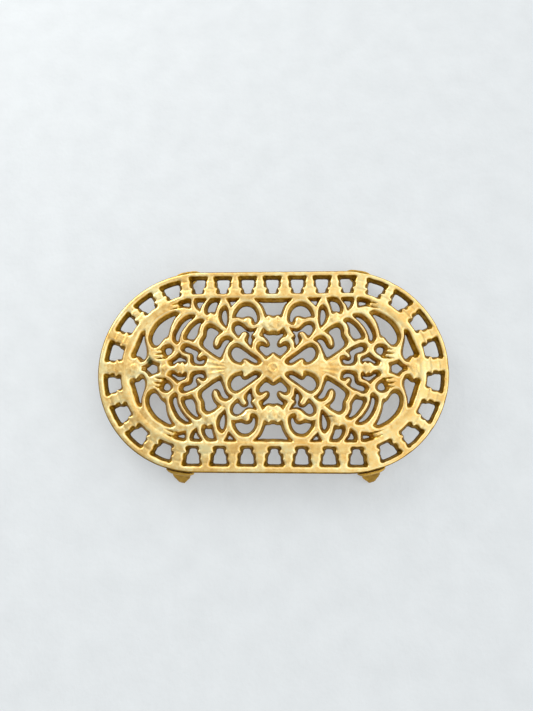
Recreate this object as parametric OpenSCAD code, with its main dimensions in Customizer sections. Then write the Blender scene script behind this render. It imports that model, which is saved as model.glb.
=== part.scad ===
// Footed openwork vanity tray: a cast brass plate with a pierced filigree panel, a gallery
// of baluster openings round it, and four splayed feet, each held by one screw from below.
// Millimetres, +Z up, origin at the middle of the footprint on the surface it stands on.

/* [Tray plate] */
// Overall length of the plate
tray_length = 200; // [190:1:210]
// Overall width of the plate, which is also the diameter of its round ends
tray_width = 116.5; // [112:0.5:120]
// Thickness of the casting
plate_thickness = 4.5; // [4:0.1:6]

/* [Gallery] */
// Distance between neighbouring openings of the back row
back_pitch = 14.6; // [14.2:0.1:15]
// Distance between neighbouring openings of the front row
front_pitch = 15.2; // [14.8:0.1:15.4]
// Width of the metal between the back row and the outer edge
back_rail = 3.2; // [2.8:0.1:3.6]
// Width of the metal between the front row and the outer edge
front_rail = 4.1; // [3.7:0.1:4.3]
// Width of the metal between the right end's openings and the outer edge
right_rail = 2.9; // [2.6:0.1:3.3]
// Width of the metal between the left end's openings and the outer edge
left_rail = 4; // [3.6:0.1:4.2]

/* [Filigree] */
// Longest straight step along a curved outline
curve_step = 1.1; // [0.6:0.1:2]
// How far the filigree sits right of the middle of the plate, as cast
pattern_shift_x = 1.3; // [-1.5:0.1:1.5]
// How far the filigree sits behind the middle of the plate, as cast
pattern_shift_y = 0.4; // [-0.8:0.1:0.8]
// Size of the front openings beside the gallery, against the same ones at the back
front_size = 0.93; // [0.9:0.01:1]

/* [Feet] */
// Height of a foot from the ground to the underside of the plate
foot_height = 13; // [10:0.5:16]
// Width of a foot's ledge, along the plate's edge
foot_width = 16; // [14:0.5:17]
// How far round the edge the middle of a foot sits from its screw, in degrees
foot_turn = 3.4; // [2.5:0.1:4]
// How far the tip of a foot reaches past the edge of the plate
foot_reach = 6.8; // [6:0.2:8]

/* [Screws] */
// Thread diameter of the foot screws
screw_diameter = 2.5; // [2:0.1:2.6]
// Head diameter of the foot screws
screw_head = 4.7; // [4.4:0.1:5]

/* [Hidden] */

$fn = 96;
cut = 1;                       // how far a cutter runs past the surface that it opens
fit_gap = 0.1;                 // clearance all round a screw or a locating lip

design_length = 200;           // size at which the filigree outlines below are drawn
design_width = 116.5;
end_radius = tray_width / 2;
end_centre = (tray_length - tray_width) / 2;
top_z = foot_height + plate_thickness;

brass = "#d9b26a";
dark_brass = "#b08a3c";
screw_brass = "#c8a860";

// ---- curves ---------------------------------------------------------------------------
// An outline is a list of [x, y] points that a smooth curve runs through. A third number
// marks a sharp corner.

function xy(point) = [point.x, point.y];
function is_corner(point) = len(point) > 2;

// Direction of the curve at a point that is not a corner
function heading(before, here, after) =
    (xy(after) - xy(before)) / (norm(xy(after) - xy(here)) + norm(xy(here) - xy(before)));

// Cubic curve from one point to the next, leaving and arriving along the two headings
function cubic(start, finish, leave, arrive, t) =
    let (span = norm(finish - start))
    (2 * t ^ 3 - 3 * t ^ 2 + 1) * start
    + (t ^ 3 - 2 * t ^ 2 + t) * span * leave
    + (3 * t ^ 2 - 2 * t ^ 3) * finish
    + (t ^ 3 - t ^ 2) * span * arrive;

function smooth_loop(points) =
    let (count = len(points))
    [for (i = [0 : count - 1])
        let (
            before = points[(i + count - 1) % count],
            here = points[i],
            next = points[(i + 1) % count],
            after = points[(i + 2) % count],
            span = norm(xy(next) - xy(here)),
            chord = (xy(next) - xy(here)) / span,
            leave = is_corner(here) ? chord : heading(before, here, next),
            arrive = is_corner(next) ? chord : heading(here, next, after),
            steps = max(1, round(span / curve_step))
        )
        for (s = [0 : steps - 1]) cubic(xy(here), xy(next), leave, arrive, s / steps)];

function flip_x(points) = [for (i = [len(points) - 1 : -1 : 0]) [-points[i].x, points[i].y]];

function mirrored(points, side, end) = [for (p = points) [p.x * side, p.y * end]];

// ---- gallery --------------------------------------------------------------------------
// Right half of one opening, from its inner edge outwards: [across, out] in millimetres
// beside the given inner and outer half widths.
function baluster_half(inner, outer, depth) = [
    [inner - 0.6, 0], [inner + 0.1, 0.7], [inner, 0.26 * depth],
    [inner + 0.4, 0.33 * depth], [outer - 0.7, 0.4 * depth], [outer - 0.5, 0.52 * depth],
    [outer - 0.6, 0.66 * depth], [outer - 0.1, 0.84 * depth],
    [outer, depth - 0.5], [outer - 0.7, depth]];

function baluster_outline(inner, outer, depth) =
    let (half = baluster_half(inner, outer, depth))
    smooth_loop(concat(half, flip_x(half)));

row_openings = 7;
row_depth = 10.2;              // straight openings, from inner to outer edge
row_inner = 3.2;               // half width at the inner edge
row_outer = 5.1;               // half width at the outer edge
back_skew = 0.6;               // how far right of the middle the back row sits
front_skew = 2.05;

end_depth = 9.3;
end_inner = 4.1;
end_outer = 6.1;
// Directions of the four openings on each side of the long axis, from the end's middle
right_angles = [10.4, 29.6, 48.1, 65.9];
left_angles = [10.7, 31.2, 49.8, 69.4];
right_turn = 2.3;              // how far the right end's set is turned towards the back
left_turn = 0.7;

// Wraps a straight outline round a circle of the given radius at its inner edge
function wrap(points, radius, angle) =
    [for (p = points)
        let (r = radius + p.y, turn = angle - p.x / r * 180 / PI)
        [r * cos(turn), r * sin(turn)]];

module opening(points) {
    translate([0, 0, foot_height - cut])
        linear_extrude(plate_thickness + 2 * cut)
            polygon(points);
}

module gallery_row(side, pitch, skew, rail) {
    outline = baluster_outline(row_inner, row_outer, row_depth);
    inner_y = end_radius - rail - row_depth;
    for (i = [0 : row_openings - 1])
        opening([for (p = outline)
            [p.x + skew + (i - (row_openings - 1) / 2) * pitch, side * (p.y + inner_y)]]);
}

module gallery_end(side, angles, turn, rail) {
    outline = baluster_outline(end_inner, end_outer, end_depth);
    inner_radius = end_radius - rail - end_depth;
    for (angle = concat(angles, -angles))
        opening([for (p = wrap(outline, inner_radius, angle + turn))
            [side * (p.x + end_centre), p.y]]);
}

// ---- filigree -------------------------------------------------------------------------
// Openings of the back right quarter. The other three quarters mirror them.

loop_scroll = [
    [8.1, 29.6], [8.6, 33], [10.2, 36.2], [12.9, 38.3], [16.2, 39], [19.4, 38], [21.8, 35.5],
    [23.5, 32.4], [24, 29.4, 1], [21.9, 29.6], [19.8, 29.4], [18, 28.6], [16.2, 29.8],
    [14.7, 30.2], [13.4, 29.8], [12.5, 28.6], [12.5, 26.8], [11.9, 25.3], [10.6, 25.3],
    [9.2, 26.4], [8.3, 27.8]];

lyre_scroll = [
    [9.2, 23.9, 1], [11.2, 23.2], [13.2, 23], [15, 23.6], [16.7, 25.2], [18.5, 26.8],
    [20.7, 27.5], [22.7, 26.8], [24, 25.1], [24, 22.6], [22.9, 20.4], [21.5, 18.6],
    [20, 17.4, 1], [19, 18.9], [18, 20.4], [16.7, 21.2], [15.5, 20.9], [15, 19.9],
    [15.7, 18.2], [16.4, 16.6], [15.2, 14.4], [13.5, 12.6], [12.5, 11.4, 1], [11.9, 13.1],
    [11.8, 15.1], [11.1, 16.6], [10.3, 17.5, 1], [11.4, 18.2], [12, 19.2], [10.7, 21.1]];

leaf_slot = [
    [28.5, 37.3], [30.8, 35.5], [31.9, 32.5], [31.7, 29.5], [30, 26], [27, 23, 1],
    [26, 27], [25.8, 31], [26.3, 34.6], [27.2, 36.7]];

rim_triangle = [
    [20, 41.3, 1], [27.5, 41.2, 1], [26, 38.6], [25, 35.8, 1], [23.6, 37.2], [21.8, 39.2]];

shoulder_leaf = [
    [31, 41.3, 1], [34.7, 41.5], [37.7, 40.6], [39.7, 37.6], [40.5, 34.6], [39.7, 32.1],
    [38.6, 31.7], [36.7, 32.8], [35.2, 32.4], [33.9, 31.8, 1], [33.3, 33.6], [32.5, 36.1],
    [31.6, 39]];

shoulder_drop = [
    [39.1, 41.1], [42.7, 41.5], [46.2, 41.4, 1], [46.9, 39.8], [46.2, 37.1], [44.7, 35.1],
    [42.7, 33.6, 1], [42.3, 35.1], [41.5, 37.1], [40.2, 38.9]];

veined_wedge = [
    [48.3, 40.8], [50.5, 41.2], [53.2, 40.5], [55.4, 39.6], [55.4, 37.2], [52.4, 36.3],
    [48.6, 35.5, 1]];

petal = [
    [6.7, 3.5], [7.5, 5.2], [10.7, 7.6], [14.7, 10.6], [18.7, 13.4], [21.7, 14.5],
    [24.2, 13.1], [25.9, 10.1], [25.6, 7.4], [24.1, 4.8], [21.8, 3], [19.2, 2.2],
    [17.7, 1.9, 1], [17.3, 3.1], [17, 4.7], [16.3, 5.1], [15.2, 4.6], [12.7, 2.8],
    [10.2, 1.8], [8.2, 2.2]];

kidney = [
    [29.1, 21.4, 1], [31.7, 23.6], [34.7, 25.3], [37.2, 26.2], [39.5, 24.9], [40.4, 22.4],
    [40.5, 19.6], [42, 17.1], [42.7, 14.6], [41.7, 12.4], [38.7, 10], [34.7, 7.1],
    [30.2, 4.4, 1], [29.2, 5.6], [28.7, 7.6, 1], [27.7, 9.6], [26.7, 12.4], [25.2, 14.6],
    [22.7, 16.3, 1], [24.2, 17.9], [26.7, 18.8], [29.2, 18.3], [31, 16.1], [31.9, 13.6],
    [33, 12.6], [33.9, 13.6], [33.7, 16.1], [32.5, 18.6], [30.7, 20.1]];

curled_slot = [
    [41.2, 28.9, 1], [44, 29], [47.3, 26.8], [50.3, 23], [52.2, 19.3], [52.2, 17.2],
    [51.2, 16.4], [48.7, 16.4], [46.4, 15.1, 1], [44.6, 17.4], [43, 20.1], [42.9, 22.6],
    [42, 25.4], [40.2, 27.6]];

narrow_crescent = [
    [45.7, 31.3], [49.7, 31.6], [53.7, 29.1], [56.7, 24.6], [58.7, 19.6], [58.5, 16.6],
    [57, 14.6], [55.7, 13.9], [54.3, 15.1], [54, 17.6], [52.7, 21.6], [49.7, 26.1],
    [46.2, 29.6]];

wide_crescent = [
    [55.2, 32.4, 1], [57.7, 33.6], [60.7, 32.6], [65.7, 29.6], [69.7, 25.6], [72.2, 20.6],
    [72.5, 16.6], [71.2, 13.6], [69.2, 12.3], [66.7, 12.6], [65, 14.4], [63.7, 16.6],
    [62.7, 17.6], [61.2, 17.6], [60.5, 19.1], [59.9, 22.6], [58.7, 26.6], [57.2, 29.6]];

fiddle_scroll = [
    [41, 9.6, 1], [43.7, 11.6], [47.7, 13.6], [50.7, 14.6], [53, 13.4], [53.5, 11.1],
    [52.2, 9.1], [49.7, 8.2], [48, 7.8], [47.6, 6.1], [47.7, 4.1], [46.2, 2.1],
    [42.7, 1.4], [39.7, 1.6], [38.7, 3.1], [38, 5.6], [38.2, 6.9], [39.7, 7.4],
    [41.5, 6.8], [42.3, 5.9], [43.4, 6.2], [43.2, 7.3], [42.2, 8.6]];

bat_scroll = [
    [49.3, 5.1], [50.2, 6.6], [52.7, 7.6], [54.4, 9.2, 1], [55.7, 7.8], [58.2, 5.6],
    [60.7, 4.1, 1], [60.2, 2.6], [58.7, 1.4], [57, 1.5], [55.9, 2.6], [54.5, 3.3],
    [53.5, 2.6], [52.1, 3.6], [50.5, 2.1], [49.5, 3.1]];

round_eye = [
    [57.4, 10.1], [58, 12.6], [59.7, 13.9], [63.2, 13.6], [64.9, 12], [64.2, 9.4],
    [62.6, 6.6], [59.6, 7.3]];

flame = [
    [74.7, 22.1, 1], [76.7, 21.6], [77.2, 20.6], [79.2, 15.6], [81, 10.6], [82.2, 7.6],
    [81.7, 6.3], [80.2, 5.9], [78.7, 6.4], [77.5, 5.1], [76.2, 3.5], [74.7, 3.6],
    [73.2, 5.6], [72.5, 8.6], [73, 12.6], [74.2, 17.1]];

// Openings on the short axis: right half, from the axis round to the axis again
rim_window_half = [
    [1, 30], [2.4, 30.9], [3.6, 30.6], [4.8, 29.6, 1], [5.4, 31.2], [6.2, 34],
    [7.6, 37], [9.3, 39.3], [11, 41, 1]];

heart_window_half = [
    [4.3, 5.3, 1], [6.8, 7.9], [9.1, 10.4], [9.7, 12.6], [9, 14.6], [7.5, 15.5],
    [5.6, 15.1], [3.7, 13.8, 1], [3.3, 14.3], [4, 16.1], [5.8, 17.9], [7.6, 18.8],
    [8, 19.6], [7, 21.4], [5.8, 23.6, 1], [4.8, 22.5], [3.7, 21.5], [2.2, 21.1],
    [0.8, 21.7]];
heart_window_tip = [0, 8.5, 1];

// Five-pointed opening on the long axis: back half, from the inner end outwards
axis_star_half = [
    [65.9, 0.9], [65.3, 2.7, 1], [68.2, 3.6], [71, 4.8, 1], [72.6, 2.8], [75.4, 0.9, 1]];

rail_openings = [
    loop_scroll, leaf_slot, rim_triangle, shoulder_leaf, shoulder_drop, veined_wedge];

inner_openings = [
    lyre_scroll, petal, kidney, curled_slot, narrow_crescent, wide_crescent,
    fiddle_scroll, bat_scroll, round_eye, flame];

short_axis_openings = [
    concat(rim_window_half, flip_corners(rim_window_half)),
    concat([heart_window_tip], heart_window_half, flip_corners(heart_window_half))];

long_axis_opening = concat(axis_star_half, flip_corners(axis_star_half, [1, -1]));

// Mirror image of a half outline, with its corner marks kept
function flip_corners(points, flip = [-1, 1]) = [
    for (i = [len(points) - 1 : -1 : 0])
        let (p = points[i], q = [p.x * flip.x, p.y * flip.y])
        is_corner(p) ? concat(q, 1) : q];

function sum(points, count) = count == 0 ? [0, 0] : points[count - 1] + sum(points, count - 1);

// Outline made larger or smaller about its own middle
function resized(points, size) =
    let (middle = sum(points, len(points)) / len(points))
    [for (p = points) middle + size * (p - middle)];

function placed(points) = [
    for (p = points)
        [(p.x + pattern_shift_x) * tray_length / design_length,
         (p.y + pattern_shift_y) * tray_width / design_width]];

module filigree() {
    for (outline = rail_openings, side = [1, -1], end = [1, -1])
        opening(placed(mirrored(resized(smooth_loop(outline), end > 0 ? 1 : front_size), side, end)));
    for (outline = inner_openings, side = [1, -1], end = [1, -1])
        opening(placed(mirrored(smooth_loop(outline), side, end)));
    for (outline = short_axis_openings, end = [1, -1])
        opening(placed(mirrored(smooth_loop(outline), 1, end)));
    for (side = [1, -1])
        opening(placed(mirrored(smooth_loop(long_axis_opening), side, 1)));
}

// ---- feet -----------------------------------------------------------------------------
// A foot is drawn with its outward direction along +Y and its middle at the plate's edge.

ledge_depth = 1.8;             // thickness of the pad under the plate
lip_height = 1.6;              // how far the lip stands up outside the plate's edge
lip_out = 2.1;                 // how far the ledge reaches past the plate's edge
lip_end = 0.3;                 // and how far at its two ends
lip_setback = 0.3;             // the lip stands this much back from the ledge
pad_corner = 1.5;              // how far the full width of the pad runs in under the plate
tongue_width = 6;              // round end of the pad, about the screw
leg_thickness = 2.6;
leg_width = 11.6;              // width of the leg under the ledge
tip_width = 3.6;               // width of the tip where it stands
screw_inset = 7.4;             // screw centre, in from the plate's edge

// Direction, from the end's middle, of the bar between a straight row and an end's openings.
// side is -1 left and 1 right, end is -1 front and 1 back.
function bar_angle(side, end) =
    let (
        pitch = end > 0 ? back_pitch : front_pitch,
        skew = end > 0 ? back_skew : front_skew,
        angles = side > 0 ? right_angles : left_angles,
        turn = side > 0 ? right_turn : left_turn,
        bar_radius = end_radius - screw_inset,
        row_edge = (row_openings - 1) / 2 * pitch + row_outer + side * skew - end_centre,
        row_angle = acos(row_edge / bar_radius),
        end_angle = angles[3] + end * turn + asin(end_inner / bar_radius)
    )
    (row_angle + end_angle) / 2;

// Places children on the edge of the plate, facing outwards, at a direction from the
// middle of a round end
module at_edge(side, end, angle) {
    mirror([side < 0 ? 1 : 0, 0, 0])
        mirror([0, end < 0 ? 1 : 0, 0])
            translate([end_centre, 0, 0])
                rotate([0, 0, angle - 90])
                    translate([0, end_radius, 0])
                        children();
}

module at_screw(side, end) {
    at_edge(side, end, bar_angle(side, end))
        translate([0, -screw_inset, pad_z])
            children();
}

pad_z = foot_height - ledge_depth;
half_foot = foot_width / 2;
lip_half = half_foot - 0.8;
leg_half = leg_width / 2;
leg_top = pad_z + 0.6;         // the leg runs this far up into the ledge
arc_steps = 10;

// Where the screw comes in a foot's own directions
screw_place = [(end_radius - screw_inset) * sin(foot_turn),
               (end_radius - screw_inset) * cos(foot_turn) - end_radius];

// Outer face of the ledge in plan: flat in the middle and curving in to its ends
function bowed_face(half, middle, end) = [
    for (i = [0 : arc_steps])
        let (share = 1 - 2 * i / arc_steps)
        [half * share, middle - (middle - end) * abs(share) ^ 4]];

// Pad under the plate in plan, narrowing to a round end about the screw
pad_outline = concat(
    [[half_foot, -pad_corner]],
    bowed_face(half_foot, lip_out, lip_end),
    [[-half_foot, -pad_corner]],
    [for (i = [0 : arc_steps])
        let (angle = 180 + 180 * i / arc_steps)
        screw_place + tongue_width / 2 * [cos(angle), sin(angle)]]);

// Lip in plan: it follows the plate's edge on its inner side
lip_outline = concat(
    bowed_face(lip_half, lip_out - lip_setback, lip_end),
    [for (i = [0 : arc_steps])
        let (
            radius = end_radius + fit_gap,
            angle = asin(lip_half / radius) * (2 * i / arc_steps - 1)
        )
        [radius * sin(angle), radius * cos(angle) - end_radius]]);

// Side view of the leg: out from the plate's edge against height above the ground
leg_side_view = smooth_loop([
    [lip_out - 0.5, leg_top, 1],
    [lip_out - 0.3, foot_height * 0.62], [foot_reach - 1.6, foot_height * 0.25],
    [foot_reach, 0.8], [foot_reach - 0.2, 0, 1],
    [foot_reach - leg_thickness, 0, 1], [foot_reach - leg_thickness - 1, foot_height * 0.18],
    [-1.2, foot_height * 0.62], [-2.6, leg_top, 1]]);

// Front view of the leg: half its width against height above the ground
leg_front_half = [
    [leg_half, leg_top + cut, 1], [leg_half - 0.1, foot_height * 0.7],
    [leg_half - 0.8, foot_height * 0.42], [leg_half - 2, foot_height * 0.2],
    [tip_width / 2 + 0.9, foot_height * 0.06], [tip_width / 2, -cut / 2, 1]];

module leg() {
    front_view = smooth_loop(concat(leg_front_half, flip_corners(leg_front_half)));
    intersection() {
        rotate([90, 0, 90])
            translate([0, 0, -foot_width])
                linear_extrude(2 * foot_width)
                    polygon(leg_side_view);
        rotate([90, 0, 0])
            translate([0, 0, -2 * foot_reach])
                linear_extrude(4 * foot_reach)
                    polygon(front_view);
    }
}

// Pad and ledge under the plate, with a lip that stands against the plate's edge and stops
// the foot turning on its screw
module foot_pad() {
    translate([0, 0, pad_z])
        linear_extrude(ledge_depth)
            polygon(pad_outline);
    translate([0, 0, foot_height - ledge_depth / 2])
        linear_extrude(ledge_depth / 2 + lip_height)
            polygon(lip_outline);
}

module foot(side, end) {
    color(dark_brass)
        difference() {
            at_edge(side, end, bar_angle(side, end) + foot_turn) {
                foot_pad();
                leg();
            }
            at_screw(side, end)
                screw_clearance();
        }
}

// ---- screws ---------------------------------------------------------------------------
// A countersunk slotted screw that points up, with its head's flat face at z = 0.

screw_length = 5;
head_height = (screw_head - screw_diameter) / 2;
slot_width = 0.7;
slot_depth = 0.6;

// Space for a screw: countersink and clearance hole, open below
module screw_clearance() {
    head_radius = screw_head / 2 + fit_gap;
    shank_radius = screw_diameter / 2 + fit_gap;
    rotate_extrude()
        polygon([
            [0, -cut], [head_radius, -cut], [head_radius, 0], [shank_radius, head_height],
            [shank_radius, foot_height], [0, foot_height]]);
}

module screw_solid() {
    difference() {
        rotate_extrude()
            polygon([
                [0, 0], [screw_head / 2, 0], [screw_diameter / 2, head_height],
                [screw_diameter / 2, screw_length], [0, screw_length]]);
        translate([-screw_head, -slot_width / 2, -cut])
            cube([2 * screw_head, slot_width, cut + slot_depth]);
    }
}

module screw(side, end) {
    at_screw(side, end)
        color(screw_brass)
            screw_solid();
}

// ---- plate ----------------------------------------------------------------------------

module plate_blank() {
    translate([-end_centre, -end_radius, foot_height])
        cube([2 * end_centre, tray_width, plate_thickness]);
    for (side = [1, -1])
        translate([side * end_centre, 0, foot_height])
            cylinder(r = end_radius, h = plate_thickness);
}

module blind_holes() {
    for (side = [1, -1], end = [1, -1])
        at_screw(side, end)
            cylinder(d = screw_diameter + 2 * fit_gap, h = screw_length + fit_gap);
}

module tray_plate() {
    color(brass)
        difference() {
            plate_blank();
            gallery_row(1, back_pitch, back_skew, back_rail);
            gallery_row(-1, front_pitch, front_skew, front_rail);
            gallery_end(1, right_angles, right_turn, right_rail);
            gallery_end(-1, left_angles, left_turn, left_rail);
            filigree();
            blind_holes();
        }
}

module foot_front_left() { foot(-1, -1); }
module foot_front_right() { foot(1, -1); }
module foot_rear_left() { foot(-1, 1); }
module foot_rear_right() { foot(1, 1); }
module screw_front_left() { screw(-1, -1); }
module screw_front_right() { screw(1, -1); }
module screw_rear_left() { screw(-1, 1); }
module screw_rear_right() { screw(1, 1); }

tray_plate();
foot_front_left();
foot_front_right();
foot_rear_left();
foot_rear_right();
screw_front_left();
screw_front_right();
screw_rear_left();
screw_rear_right();
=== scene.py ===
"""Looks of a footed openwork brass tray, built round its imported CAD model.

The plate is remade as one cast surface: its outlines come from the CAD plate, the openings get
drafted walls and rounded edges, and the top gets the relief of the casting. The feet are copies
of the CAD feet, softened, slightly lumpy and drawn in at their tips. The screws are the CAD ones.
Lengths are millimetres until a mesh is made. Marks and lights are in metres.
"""

import math

import bpy
import numpy as np
from mathutils import Matrix, Vector, geometry, kdtree, noise


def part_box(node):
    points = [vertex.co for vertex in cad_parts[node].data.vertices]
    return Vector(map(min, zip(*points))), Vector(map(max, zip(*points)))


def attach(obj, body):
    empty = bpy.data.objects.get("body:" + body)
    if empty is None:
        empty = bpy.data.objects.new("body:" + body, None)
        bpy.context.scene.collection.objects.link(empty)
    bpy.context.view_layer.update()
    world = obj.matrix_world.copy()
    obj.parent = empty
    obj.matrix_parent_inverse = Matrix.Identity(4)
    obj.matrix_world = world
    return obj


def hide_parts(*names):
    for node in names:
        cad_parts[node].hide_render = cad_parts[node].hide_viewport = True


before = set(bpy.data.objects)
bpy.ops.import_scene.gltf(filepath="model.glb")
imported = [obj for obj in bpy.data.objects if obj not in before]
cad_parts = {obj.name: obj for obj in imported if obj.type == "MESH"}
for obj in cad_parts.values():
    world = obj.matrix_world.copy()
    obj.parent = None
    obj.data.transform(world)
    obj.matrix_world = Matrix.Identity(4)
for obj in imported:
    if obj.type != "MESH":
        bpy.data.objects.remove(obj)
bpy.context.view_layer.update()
MM = 0.001

# ---- sizes of the cast surface ----------------------------------------------------------
OUTLINE_STEP = 0.6         # spacing of points along every outline
CAST_SOFTNESS = 0.2        # how far corners of the openings are rounded in the mould
STEP_GAIN = 0.75           # how much stronger the steps and corners of the gallery are cast
STEP_SIZE = 1.2            # radius of the softening that tells them from the plain outline
CAST_WANDER = 0.2          # how far the mould's edges wander
WANDER_SIZE = 2.6          # and over what length
WANDER_LEVEL = 5.3         # height in the noise where the wander is read
MOULD_STEP = 0.1           # spacing of points while corners are rounded
EDGE_ROUND = 1.75          # width of the rounded band along an opening's edge
RIM_ROUND = 1.5            # and along the plate's outer edge
EDGE_DROP = 0.85           # how far that band falls
PANEL_DRAFT = 1.55         # how much narrower a filigree opening is at the bottom, each side
GALLERY_DRAFT = 1.1        # and one of the gallery
BASE_ROOM = 0.55           # clear radius that is left where an opening is narrow
LEAST_DRAFT = 0.35         # narrowing that even a tight place is given, each side
RIM_DRAFT = 0.25           # how much the plate's outer wall leans out
RIM_INSET = 0.02           # keeps the leaning wall inside the CAD plate
FILLET = 0.3               # small round at the bottom edges
DEEPEST = 2.4              # no relief goes deeper than this below the top
GRID_STEP = 1.1            # spacing of mesh points on plain metal
FINE_STEP = 0.42           # and where there is relief
ROW_RATIO = math.sqrt(3) / 2   # height of an equilateral triangle against its side

plate_low, plate_high = [np.array(corner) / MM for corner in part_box("tray_plate")]
TOP, BOTTOM = plate_high[2], plate_low[2]
END_RADIUS = (plate_high[1] - plate_low[1]) / 2
END_CENTRE = plate_high[0] - END_RADIUS

# Middle of the filigree, as cast, off the middle of the plate
PANEL_MIDDLE = np.array([1.3, 0.4])

# The screws' blind holes in the underside
SCREW_HOLE_RADIUS = 1.35
SCREW_END_GAP = 0.1        # how far they go on above the screws
HOLE_SIDES = 24


# ---- outlines ---------------------------------------------------------------------------
CAD_DIGITS = 3             # CAD points are read to a thousandth of a millimetre
ON_TOP = 0.01              # and count as on the top this near to it
LEAST_POINTS = 12          # every outline has at least this many points
END_POINTS = 181           # points round each end of the plate
LEAST_AHEAD = 1e-4         # points less far ahead than this don't limit a disc
NEIGHBOURS = 3             # nor do those of the same outline less than this many points away
LEAST_OFF = 1e-6           # keeps the direction of a push defined right on the old outline

# An opening moves inwards in small moves. After each one, points that lag behind are pushed on
# and the outline is evened out and softened, so that it doesn't cross itself in tight corners.
MOVES = 12
PUSH_SHARE = 0.8           # share of the lag that one push makes up
LONGEST_PUSH = 0.5
INSIDE_LEAN = 0.3          # least cosine to the normal where a point counts as inside the opening
MOVE_SOFTENING = 0.34      # radius of the softening after each move
LAST_SOFTENING = 0.65      # and after all of them
ROOM_WIDENED = 3           # points on each side that a roomy place lends its room to
ROOM_BLURRED = 2           # points on each side that the room is averaged over
TIGHTEST = 0.14            # clear radius wanted in every opening on the underside
NEXT_TRY = 0.88            # share of the distance that is tried next in a tighter one


def outlines_of(cad_object):
    """Closed outlines of a flat CAD plate's top face, with the metal on their left."""
    mesh = cad_object.data
    points = np.empty(len(mesh.vertices) * 3)
    mesh.vertices.foreach_get("co", points)
    points = (points.reshape(-1, 3) / MM).round(CAD_DIGITS)
    places, same = np.unique(points, axis=0, return_inverse=True)
    mesh.calc_loop_triangles()
    corners = np.empty(len(mesh.loop_triangles) * 3, int)
    mesh.loop_triangles.foreach_get("vertices", corners)
    triangles = same.ravel()[corners.reshape(-1, 3)]
    on_top = (np.abs(places[triangles][:, :, 2] - TOP) < ON_TOP).all(axis=1)
    directed = set()
    for a, b, c in triangles[on_top]:
        if len({a, b, c}) == 3:
            directed.update(((a, b), (b, c), (c, a)))
    follow = {a: b for a, b in sorted(directed) if (b, a) not in directed}
    loops = []
    while follow:
        start = min(follow)
        here = follow.pop(start)
        loop = [start]
        while here != start:
            loop.append(here)
            here = follow.pop(here)
        loops.append(places[loop][:, :2])
    return loops


def resampled(loop, step, count=None):
    """The closed outline with evenly spaced points, a step apart or of a given number."""
    closed = np.vstack([loop, loop[:1]])
    along = np.r_[0, np.cumsum(np.linalg.norm(np.diff(closed, axis=0), axis=1))]
    count = count or max(LEAST_POINTS, round(along[-1] / step))
    places = np.arange(count) * along[-1] / count
    return np.stack([np.interp(places, along, closed[:, k]) for k in range(2)], axis=1)


def softened(loop, step, radius):
    """An evenly spaced outline with its corners rounded by a Gaussian along its length."""
    waves = np.fft.fftfreq(len(loop), step)
    faded = np.fft.fft(loop[:, 0] + 1j * loop[:, 1]) * np.exp(-2 * (math.pi * radius * waves) ** 2)
    smooth = np.fft.ifft(faded)
    return np.stack([smooth.real, smooth.imag], axis=1)


def stadium(inset):
    """The plate's own outline, counter-clockwise, moved in by inset."""
    radius = END_RADIUS - inset
    turns = np.radians(np.linspace(-90, 90, END_POINTS))
    right = np.stack([END_CENTRE + radius * np.cos(turns), radius * np.sin(turns)], axis=1)
    return np.vstack([right, -right])


def outward(loop):
    """Unit normals of an outline, pointing away from the metal on its left."""
    along = np.roll(loop, -1, axis=0) - np.roll(loop, 1, axis=0)
    along /= np.linalg.norm(along, axis=1)[:, None]
    return np.stack([along[:, 1], -along[:, 0]], axis=1)


def disc_radii(points, others, directions):
    """Radius of the disc that touches each point, on the side it looks to, and each other one."""
    gap = others[None] - points[:, None]
    ahead = np.einsum("ijk,ik->ij", gap, directions)
    square = np.einsum("ijk,ijk->ij", gap, gap)
    discs = square / (2 * np.maximum(ahead, LEAST_AHEAD))
    return np.where(ahead > LEAST_AHEAD, discs, np.inf)


def clear_radius(points, directions, block=400):
    """Radius of the largest disc that touches each point from the side it looks to."""
    parts = [slice(start, start + block) for start in range(0, len(points), block)]
    return np.concatenate([disc_radii(points[part], points, directions[part]).min(axis=1)
                           for part in parts])


def self_clearance(loop):
    """Radius of the free disc at each point of an opening, its near neighbours left out."""
    apart = np.abs(np.subtract.outer(np.arange(len(loop)), np.arange(len(loop))))
    beside = np.minimum(apart, len(loop) - apart) < NEIGHBOURS
    return np.where(beside, np.inf, disc_radii(loop, loop, outward(loop))).min(axis=1)


def spread(values, reach, merge):
    """Values merged with those of up to reach neighbours on each side of a closed outline."""
    return merge([np.roll(values, turn) for turn in range(-reach, reach + 1)], axis=0)


def moved_in(loop, distance):
    """An opening's outline moved inwards little by little, its corners rounding as it goes."""
    room = np.minimum(self_clearance(loop) - BASE_ROOM, distance)
    room = spread(spread(room, ROOM_WIDENED, np.max), ROOM_BLURRED, np.mean)
    goal = np.clip(room, LEAST_DRAFT, distance)
    normals = outward(loop)
    moved = loop
    for move in range(1, MOVES + 1):
        moved = moved + outward(moved) * (goal / MOVES)[:, None]
        gaps = moved[:, None] - loop[None]
        nearest = (gaps ** 2).sum(axis=2).argmin(axis=1)
        away = gaps[np.arange(len(loop)), nearest]
        off = np.linalg.norm(away, axis=1)
        inside = np.einsum("ij,ij->i", away, normals[nearest]) > INSIDE_LEAN * off
        push = np.where(inside[:, None], away / np.maximum(off, LEAST_OFF)[:, None], normals[nearest])
        lag = np.clip(goal * move / MOVES - np.where(inside, off, -off), 0, LONGEST_PUSH)
        moved = resampled(moved + push * (PUSH_SHARE * lag)[:, None], None, len(loop))
        moved = softened(moved, OUTLINE_STEP, MOVE_SOFTENING)
    moved = softened(moved, OUTLINE_STEP, LAST_SOFTENING)
    misfit = [((np.roll(moved, turn, axis=0) - loop) ** 2).sum() for turn in range(len(loop))]
    return np.roll(moved, int(np.argmin(misfit)), axis=0)


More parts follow.
